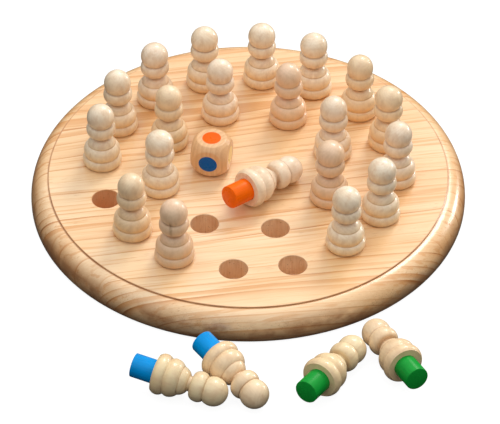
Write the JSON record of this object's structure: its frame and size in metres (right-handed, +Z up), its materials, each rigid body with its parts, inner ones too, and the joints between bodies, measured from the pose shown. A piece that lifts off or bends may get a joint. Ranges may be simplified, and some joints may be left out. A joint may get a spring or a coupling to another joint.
{
  "type": "memory peg board game",
  "caption": "Round wooden board with rings of blind holes, turned pawns whose coloured pegs hide in the holes, and a colour die for a memory game.",
  "frame": {"origin": "centre of the board's flat underside, on the surface it stands on", "axes": "+Z up through the board's centre, +X through the first hole of both rings, +Y to the left of +X seen from above; the loose pawns on the table lie on the -Y side"},
  "size_m": [0.29, 0.3614, 0.0674],
  "materials": {
    "pine": "satin varnish over edge-glued pine with orange-brown growth lines",
    "turned_wood": "pale close-grained turned wood, semi-gloss lacquer",
    "die_wood": "sanded warm wood with painted colour dots, satin lacquer",
    "red_paint": "red gloss paint on a wooden dowel",
    "orange_paint": "orange gloss paint on a wooden dowel",
    "yellow_paint": "yellow gloss paint on a wooden dowel",
    "green_paint": "green gloss paint on a wooden dowel",
    "blue_paint": "blue gloss paint on a wooden dowel",
    "violet_paint": "violet gloss paint on a wooden dowel"
  },
  "bodies": {
    "board": {"board": "pine"},
    "die": {"die": "die_wood"},
    "pawn_red_1": {"pawn_red_1": "turned_wood", "peg_red_1": "red_paint"},
    "pawn_yellow_1": {"pawn_yellow_1": "turned_wood", "peg_yellow_1": "yellow_paint"},
    "pawn_violet_1": {"pawn_violet_1": "turned_wood", "peg_violet_1": "violet_paint"},
    "pawn_orange_1": {"pawn_orange_1": "turned_wood", "peg_orange_1": "orange_paint"},
    "pawn_green_1": {"pawn_green_1": "turned_wood", "peg_green_1": "green_paint"},
    "pawn_red_2": {"pawn_red_2": "turned_wood", "peg_red_2": "red_paint"},
    "pawn_blue_1": {"pawn_blue_1": "turned_wood", "peg_blue_1": "blue_paint"},
    "pawn_yellow_2": {"pawn_yellow_2": "turned_wood", "peg_yellow_2": "yellow_paint"},
    "pawn_violet_2": {"pawn_violet_2": "turned_wood", "peg_violet_2": "violet_paint"},
    "pawn_orange_2": {"pawn_orange_2": "turned_wood", "peg_orange_2": "orange_paint"},
    "pawn_green_2": {"pawn_green_2": "turned_wood", "peg_green_2": "green_paint"},
    "pawn_red_3": {"pawn_red_3": "turned_wood", "peg_red_3": "red_paint"},
    "pawn_yellow_3": {"pawn_yellow_3": "turned_wood", "peg_yellow_3": "yellow_paint"},
    "pawn_violet_3": {"pawn_violet_3": "turned_wood", "peg_violet_3": "violet_paint"},
    "pawn_orange_3": {"pawn_orange_3": "turned_wood", "peg_orange_3": "orange_paint"},
    "pawn_blue_2": {"pawn_blue_2": "turned_wood", "peg_blue_2": "blue_paint"},
    "pawn_red_4": {"pawn_red_4": "turned_wood", "peg_red_4": "red_paint"},
    "pawn_yellow_4": {"pawn_yellow_4": "turned_wood", "peg_yellow_4": "yellow_paint"},
    "pawn_violet_4": {"pawn_violet_4": "turned_wood", "peg_violet_4": "violet_paint"},
    "pawn_orange_4": {"pawn_orange_4": "turned_wood", "peg_orange_4": "orange_paint"},
    "pawn_blue_3": {"pawn_blue_3": "turned_wood", "peg_blue_3": "blue_paint"},
    "pawn_blue_4": {"pawn_blue_4": "turned_wood", "peg_blue_4": "blue_paint"},
    "pawn_green_3": {"pawn_green_3": "turned_wood", "peg_green_3": "green_paint"},
    "pawn_green_4": {"pawn_green_4": "turned_wood", "peg_green_4": "green_paint"}
  },
  "joints": [
    {"name": "lift_die", "type": "slide", "parent": "board", "child": "die", "axis": [0, 0, 1], "range_m": [0, 0.065]},
    {"name": "lift_red_1", "type": "slide", "parent": "board", "child": "pawn_red_1", "axis": [0, 0, 1], "range_m": [0, 0.065]},
    {"name": "lift_yellow_1", "type": "slide", "parent": "board", "child": "pawn_yellow_1", "axis": [0, 0, 1], "range_m": [0, 0.065]},
    {"name": "lift_violet_1", "type": "slide", "parent": "board", "child": "pawn_violet_1", "axis": [0, 0, 1], "range_m": [0, 0.065]},
    {"name": "lift_orange_1", "type": "slide", "parent": "board", "child": "pawn_orange_1", "axis": [0, 0, 1], "range_m": [0, 0.065]},
    {"name": "lift_green_1", "type": "slide", "parent": "board", "child": "pawn_green_1", "axis": [0, 0, 1], "range_m": [0, 0.065]},
    {"name": "lift_red_2", "type": "slide", "parent": "board", "child": "pawn_red_2", "axis": [0, 0, 1], "range_m": [0, 0.065]},
    {"name": "lift_blue_1", "type": "slide", "parent": "board", "child": "pawn_blue_1", "axis": [0, 0, 1], "range_m": [0, 0.065]},
    {"name": "lift_yellow_2", "type": "slide", "parent": "board", "child": "pawn_yellow_2", "axis": [0, 0, 1], "range_m": [0, 0.065]},
    {"name": "lift_violet_2", "type": "slide", "parent": "board", "child": "pawn_violet_2", "axis": [0, 0, 1], "range_m": [0, 0.065]},
    {"name": "lift_orange_2", "type": "slide", "parent": "board", "child": "pawn_orange_2", "axis": [0, 0, 1], "range_m": [0, 0.065]},
    {"name": "lift_green_2", "type": "slide", "parent": "board", "child": "pawn_green_2", "axis": [0, 0, 1], "range_m": [0, 0.065]},
    {"name": "lift_red_3", "type": "slide", "parent": "board", "child": "pawn_red_3", "axis": [0, 0, 1], "range_m": [0, 0.065]},
    {"name": "lift_yellow_3", "type": "slide", "parent": "board", "child": "pawn_yellow_3", "axis": [0, 0, 1], "range_m": [0, 0.065]},
    {"name": "lift_violet_3", "type": "slide", "parent": "board", "child": "pawn_violet_3", "axis": [0, 0, 1], "range_m": [0, 0.065]},
    {"name": "lift_orange_3", "type": "slide", "parent": "board", "child": "pawn_orange_3", "axis": [0, 0, 1], "range_m": [0, 0.065]},
    {"name": "lift_blue_2", "type": "slide", "parent": "board", "child": "pawn_blue_2", "axis": [0, 0, 1], "range_m": [0, 0.065]},
    {"name": "lift_red_4", "type": "slide", "parent": "board", "child": "pawn_red_4", "axis": [0, 0, 1], "range_m": [0, 0.065]},
    {"name": "lift_yellow_4", "type": "slide", "parent": "board", "child": "pawn_yellow_4", "axis": [0, 0, 1], "range_m": [0, 0.065]},
    {"name": "lift_violet_4", "type": "slide", "parent": "board", "child": "pawn_violet_4", "axis": [0, 0, 1], "range_m": [0, 0.065]},
    {"name": "lift_orange_4", "type": "slide", "parent": "board", "child": "pawn_orange_4", "axis": [0, 0, 1], "range_m": [0, 0.065]},
    {"name": "lift_blue_3", "type": "slide", "parent": "board", "child": "pawn_blue_3", "axis": [0, 0, 1], "range_m": [0, 0.065]},
    {"name": "lift_blue_4", "type": "slide", "parent": "board", "child": "pawn_blue_4", "axis": [0, 0, 1], "range_m": [0, 0.065]},
    {"name": "lift_green_3", "type": "slide", "parent": "board", "child": "pawn_green_3", "axis": [0, 0, 1], "range_m": [0, 0.065]},
    {"name": "lift_green_4", "type": "slide", "parent": "board", "child": "pawn_green_4", "axis": [0, 0, 1], "range_m": [0, 0.065]}
  ]
}
